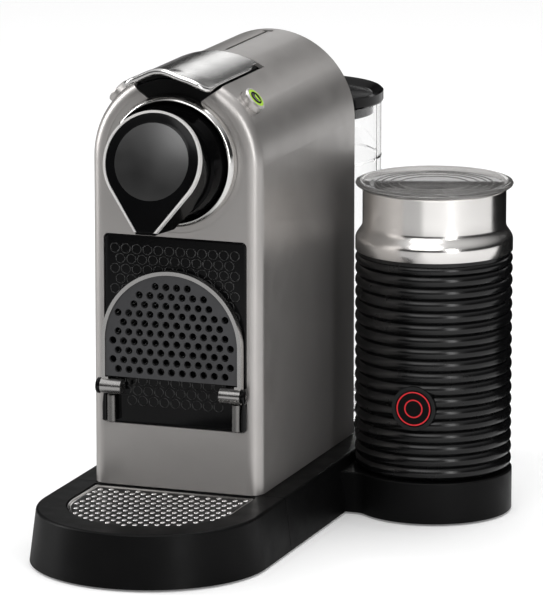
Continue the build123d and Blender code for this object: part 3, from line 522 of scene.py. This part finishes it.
# ---------------------------------------------------------------- buttons
def button_sign(node, body, size):
    """A black disc in a coffee button, with a small cup sign of plain shapes."""
    low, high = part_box(node)
    middle = (low + high) / 2
    x = (middle.x - AXIS_X) / MM
    z = middle.z / MM - ARCH_Z
    angle = math.atan2(x, z)
    depth = (middle.y - FRONT_Y) / MM
    reach = BODY_R + 4.3

    def place(a, b, out):
        return ((reach + out) * math.sin(angle) + a * math.cos(angle), depth + b,
                ARCH_Z + (reach + out) * math.cos(angle) - a * math.sin(angle))

    mesh = bmesh.new()
    loops = [[place(px, py, out) for px, py in circle(r, 32)]
             for r, out in ((4.1, -0.08), (4.1, 0.26), (3.95, 0.36), (3.0, 0.38))]
    rows = skin(mesh, loops)
    mesh.faces.new(rows[-1])
    disc = keep(node + "_disc", mesh, looks["black_gloss"], body, sharp=60)
    sign = bmesh.new()
    bowl = [(-size, 0.9), (size, 0.9)]
    bowl += [(size * math.cos(t), 0.9 - 1.9 * math.sin(t)) for t in [math.pi * i / 12 for i in range(1, 12)]]
    rows = skin(sign, [[place(a, b, out) for a, b in bowl] for out in (0.3, 0.46)])
    sign.faces.new(rows[-1])
    loops = []
    for dr, dh in circle(0.22, 6):
        loops.append([place(size + 0.35 + px, 0.25 + py, 0.38 + dh) for px, py in circle(0.62 + dr, 16)])
    skin(sign, loops + [loops[0]])
    bmesh.ops.remove_doubles(sign, verts=sign.verts, dist=0.0005)
    mark = keep(node + "_sign", sign, looks["green_light"], body, sharp=60)


# ---------------------------------------------------------------- head ring
def ring_round():
    """The bright ring round the brewing head: a dished inside and a crowned, sloping rim."""
    low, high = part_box("head_ring")
    outer = (high.x - low.x) / 2 / MM
    axis_z = (high.z + low.z) / 2 / MM
    back = (high.y - FRONT_Y) / MM
    bore = outer - 4.5
    profile = [(bore, back), (bore, -3.2), (bore + 0.25, -4.4), (bore + 0.7, -5.6), (bore + 1.3, -6.7)]
    profile += [(outer - 2.6, -7.5), (outer - 2.0, -7.35), (outer - 1.3, -6.75), (outer - 0.7, -5.9)]
    profile += [(outer - 0.25, -4.8), (outer, -3.4), (outer, -0.12), (outer - 1.3, -0.12), (outer - 1.3, back)]

    def place(x, z, y):
        return (x, y, axis_z + z)

    ring = keep("ring_round", lathe(profile, place, 128), looks["ring_chrome"], "root", sharp=50)
    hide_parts("head_ring")


# ---------------------------------------------------------------- frother
def frother_place(node):
    """A function that puts a point drawn round z on the axis of a round node of the frother."""
    low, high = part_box(node)
    centre = ((low.x + high.x) / 2 - AXIS_X) / MM
    depth = ((low.y + high.y) / 2 - FRONT_Y) / MM

    def place(x, y, z):
        return (centre + x, depth + y, z)

    return place


def steel_band():
    """The frother's polished band: a straight neck that swells in one smooth curve to the band."""
    low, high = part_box("jug_band")
    wide = (high.x - low.x) / 2 / MM
    foot = low.z / MM
    neck = wide - 4.1
    top = high.z / MM + 4.0
    bend = foot + 6.6
    rise = 9.0
    profile = [(neck, top - 0.3), (neck, bend + rise + 6)]
    for i in range(13):
        share = i / 12
        swell = (wide - neck) * (0.5 - 0.5 * math.cos(math.pi * share))
        profile.append((neck + swell, bend + rise * (1 - share)))
    profile += [(wide, foot + 0.3), (wide - 0.3, foot), (wide - 1, foot), (wide - 1, bend)]
    profile += [(neck - 0.9, bend + rise), (neck - 0.9, top - 0.3), (neck - 0.5, top)]
    band = keep("steel_band", lathe(profile, frother_place("jug_band"), 128), looks["polished_steel"],
                "jug", sharp=50)
    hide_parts("jug_band")


def frother_lid():
    """The frother's smoky lid: a thin plate with a low rounded rim and a plug below."""
    low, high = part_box("jug_lid")
    wide = (high.x - low.x) / 2 / MM
    top = high.z / MM
    foot = low.z / MM
    profile = [(0.02, top - 2.7), (wide - 8.6, top - 2.7), (wide - 6.6, top - 2.3), (wide - 4.6, top - 1.4),
               (wide - 3.0, top - 0.85), (wide - 1.6, top - 0.75), (wide - 0.4, top - 1.2),
               (wide, top - 2.1), (wide - 0.4, top - 3.0), (wide - 1.6, top - 3.9), (wide - 3.2, top - 4.6),
               (wide - 5.3, top - 4.85), (wide - 8.0, top - 6.0), (wide - 8.0, foot), (wide - 9.4, foot),
               (wide - 9.4, top - 6.4), (0.02, top - 6.4)]
    lid = keep("frother_lid", lathe(profile, frother_place("jug_lid"), 128), looks["smoky_lid"],
               "jug_lid", sharp=50)
    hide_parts("jug_lid")


def lid_rings():
    """Fine raised rings on the frother's smoky lid."""
    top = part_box("jug_lid")[1].z / MM - 2.65
    for number, radius in enumerate((20.5, 26.5, 31.0, 34.4)):
        ring = keep("lid_ring_" + str(number), lathe(bead(radius, 0.35, top, 8), frother_place("jug_lid"), 72),
                    looks["smoky_lid"], "jug_lid", sharp=180)


# ---------------------------------------------------------------- tank valve and body top
def valve_coil():
    """The valve's spring: a coil of round wire."""
    low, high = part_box("valve_spring")
    wire = 0.35
    mean = (high.x - low.x) / 2 / MM - wire
    centre = ((low.x + high.x) / 2 - AXIS_X) / MM
    depth = ((low.y + high.y) / 2 - FRONT_Y) / MM
    foot = low.z / MM + wire
    rise = (high.z - low.z) / MM - 2 * wire
    coils = 4
    steps = 24 * coils
    spine = []
    for i in range(steps + 1):
        turn = 2 * math.pi * coils * i / steps
        spine.append(Vector((centre + mean * math.cos(turn), depth + mean * math.sin(turn),
                             foot + rise * i / steps)))
    coil = keep("valve_coil", tube(spine, [wire] * (steps + 1), 8), looks["zinc_steel"], "tank", sharp=60)
    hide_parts("valve_spring")
    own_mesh(coil)


def top_strip():
    """The dark strip set into the groove along the top, with its wider end."""
    mesh = bmesh.new()
    outline = [(-0.8, 84.1), (0.8, 84.1), (0.8, 153.1), (2.9, 153.1), (2.9, 156.9), (-2.9, 156.9),
               (-2.9, 153.1), (-0.8, 153.1)]
    top = ARCH_Z + BODY_R
    loops = [[(x, y, z) for x, y in outline] for z in (top - 1.38, top - 0.55)]
    rows = skin(mesh, loops)
    mesh.faces.new(rows[0])
    mesh.faces.new(rows[1])
    strip = keep("top_strip", mesh, looks["black_satin"], "root")


lever_sheet()
nose_glass()
ring_round()
top_strip()
valve_coil()
drawer_front()
hinge_brackets()
drip_grid()
button_sign("coffee_button_small", "small_button", 1.3)
button_sign("coffee_button_large", "large_button", 1.9)
steel_band()
frother_lid()
lid_rings()

# ---------------------------------------------------------------- studio
def glossy_ray(tree):
    """The socket that is 1 for rays that come from a mirror-like bounce."""
    return tree.nodes.new("ShaderNodeLightPath").outputs["Is Glossy Ray"]


def pale_floor():
    """A pale floor that reflections see darker in front of the machine than at its right."""
    mesh = bmesh.new()
    bmesh.ops.create_circle(mesh, cap_ends=True, segments=128, radius=14)
    data = bpy.data.meshes.new("studio_floor")
    mesh.to_mesh(data)
    mesh.free()
    floor = bpy.data.objects.new("studio_floor", data)
    bpy.context.scene.collection.objects.link(floor)
    paper = bpy.data.materials.new("studio_paper")
    paper.use_nodes = True
    tree = paper.node_tree
    tree.nodes.remove(tree.nodes["Principled BSDF"])
    path = tree.nodes.new("ShaderNodeLightPath")
    place = tree.nodes.new("ShaderNodeTexCoord")
    split = tree.nodes.new("ShaderNodeSeparateXYZ")
    link(tree, place.outputs["Object"], split.inputs["Vector"])
    fade = tree.nodes.new("ShaderNodeMapRange")
    fade.inputs["From Min"].default_value = at(60, 0, 0).x
    fade.inputs["From Max"].default_value = at(150, 0, 0).x
    fade.inputs["To Min"].default_value = 0.42
    fade.inputs["To Max"].default_value = 0.82
    link(tree, split.outputs["X"], fade.inputs["Value"])
    mirrored = tree.nodes.new("ShaderNodeMath")
    mirrored.operation = "SUBTRACT"
    mirrored.use_clamp = True
    link(tree, path.outputs["Is Glossy Ray"], mirrored.inputs[0])
    link(tree, path.outputs["Is Transmission Ray"], mirrored.inputs[1])
    tone = tree.nodes.new("ShaderNodeMix")
    tone.inputs["A"].default_value = 0.92
    link(tree, mirrored.outputs["Value"], tone.inputs["Factor"])
    link(tree, fade.outputs["Result"], tone.inputs["B"])
    pale = tree.nodes.new("ShaderNodeBsdfDiffuse")
    link(tree, tone.outputs["Result"], pale.inputs["Color"])
    lift = tree.nodes.new("ShaderNodeEmission")
    link(tree, path.outputs["Is Camera Ray"], lift.inputs["Color"])
    lift.inputs["Strength"].default_value = 0.14
    both = tree.nodes.new("ShaderNodeAddShader")
    link(tree, pale.outputs["BSDF"], both.inputs[0])
    link(tree, lift.outputs["Emission"], both.inputs[1])
    link(tree, both.outputs["Shader"], tree.nodes["Material Output"].inputs["Surface"])
    data.materials.append(paper)


def dark_card():
    """A black card behind the machine's right, which only reflections see."""
    mesh = bmesh.new()
    corners = [at(54, 230, 0), at(320, 230, 0), at(320, 230, 190), at(54, 230, 190)]
    mesh.faces.new([mesh.verts.new(corner) for corner in corners])
    data = bpy.data.meshes.new("studio_card")
    mesh.to_mesh(data)
    mesh.free()
    card = bpy.data.objects.new("studio_card", data)
    bpy.context.scene.collection.objects.link(card)
    cloth = bpy.data.materials.new("studio_black")
    cloth.use_nodes = True
    tree = cloth.node_tree
    tree.nodes.remove(tree.nodes["Principled BSDF"])
    black = tree.nodes.new("ShaderNodeBsdfDiffuse")
    black.inputs["Color"].default_value = (0.004, 0.004, 0.004, 1)
    link(tree, black.outputs["BSDF"], tree.nodes["Material Output"].inputs["Surface"])
    data.materials.append(cloth)
    card.visible_camera = False
    card.visible_diffuse = False
    card.visible_transmission = False
    card.visible_shadow = False


def softbox(name, azimuth, elevation, distance, size, radiance):
    """A rectangular light round the machine: azimuth from its front, towards its right."""
    turn = math.radians(azimuth)
    rise = math.radians(elevation)
    aim = at(30, 60, 140)
    away = Vector((math.sin(turn) * math.cos(rise), -math.cos(turn) * math.cos(rise), math.sin(rise)))
    data = bpy.data.lights.new(name, "AREA")
    data.shape = "RECTANGLE"
    data.size = size[0]
    data.size_y = size[1]
    data.energy = radiance * math.pi * size[0] * size[1]
    lamp = bpy.data.objects.new(name, data)
    lamp.location = aim + away * distance
    lamp.rotation_euler = (-away).to_track_quat("-Z", "Y").to_euler()
    lamp.visible_camera = False
    bpy.context.scene.collection.objects.link(lamp)


def surround():
    """The world: pale to the camera, even to matt surfaces, darker near the horizon to shiny ones."""
    world = bpy.data.worlds.new("studio_world")
    world.use_nodes = True
    tree = world.node_tree
    back = tree.nodes["Background"]
    place = tree.nodes.new("ShaderNodeTexCoord")
    split = tree.nodes.new("ShaderNodeSeparateXYZ")
    link(tree, place.outputs["Generated"], split.inputs["Vector"])
    sky = tree.nodes.new("ShaderNodeMapRange")
    sky.inputs["From Min"].default_value = 0.34
    sky.inputs["From Max"].default_value = 0.9
    sky.inputs["To Min"].default_value = 0.02
    sky.inputs["To Max"].default_value = 0.75
    link(tree, split.outputs["Z"], sky.inputs["Value"])
    level = tree.nodes.new("ShaderNodeMix")
    level.inputs["A"].default_value = 0.62
    link(tree, glossy_ray(tree), level.inputs["Factor"])
    link(tree, sky.outputs["Result"], level.inputs["B"])
    seen = tree.nodes.new("ShaderNodeMix")
    seen.inputs["B"].default_value = 0.9
    straight = tree.nodes.new("ShaderNodeMath")
    straight.operation = "MAXIMUM"
    path = tree.nodes.new("ShaderNodeLightPath")
    link(tree, path.outputs["Is Camera Ray"], straight.inputs[0])
    link(tree, path.outputs["Is Transmission Ray"], straight.inputs[1])
    link(tree, straight.outputs["Value"], seen.inputs["Factor"])
    link(tree, level.outputs["Result"], seen.inputs["A"])
    link(tree, seen.outputs["Result"], back.inputs["Strength"])
    back.inputs["Color"].default_value = (1, 1, 1, 1)
    bpy.context.scene.world = world


def studio():
    """Soft boxes in front, at both sides and above, with a pale surround."""
    pale_floor()
    dark_card()
    softbox("front_box", 6, 43, 2.5, (1.8, 1.4), 2.15)
    softbox("back_box", 196, 18, 3.0, (0.75, 0.45), 1.3)
    softbox("rear_box", 160, 26, 2.6, (0.5, 0.7), 1.6)
    softbox("left_box", -82, 16, 2.2, (0.55, 1.8), 8.5)
    softbox("right_box", 48, 14, 2.3, (0.45, 1.8), 6.2)
    softbox("top_box", 160, 72, 2.0, (1.3, 1.0), 2.9)
    surround()
    bpy.context.scene.view_settings.view_transform = "Standard"


def camera():
    """The camera: a long lens, right of the machine's front and a little above it."""
    azimuth = math.radians(19.909)
    elevation = math.radians(12.333)
    distance = 3.0241
    target = at(58.32, 0, 144.4)
    away = Vector((math.sin(azimuth) * math.cos(elevation), -math.cos(azimuth) * math.cos(elevation),
                   math.sin(elevation)))
    data = bpy.data.cameras.new("camera")
    data.sensor_width = 36
    data.lens = 315.7
    data.clip_end = 100
    holder = bpy.data.objects.new("camera", data)
    holder.location = target + away * distance
    holder.rotation_euler = (-away).to_track_quat("-Z", "Y").to_euler()
    bpy.context.scene.collection.objects.link(holder)
    bpy.context.scene.camera = holder


camera()
studio()

bpy.context.view_layer.update()
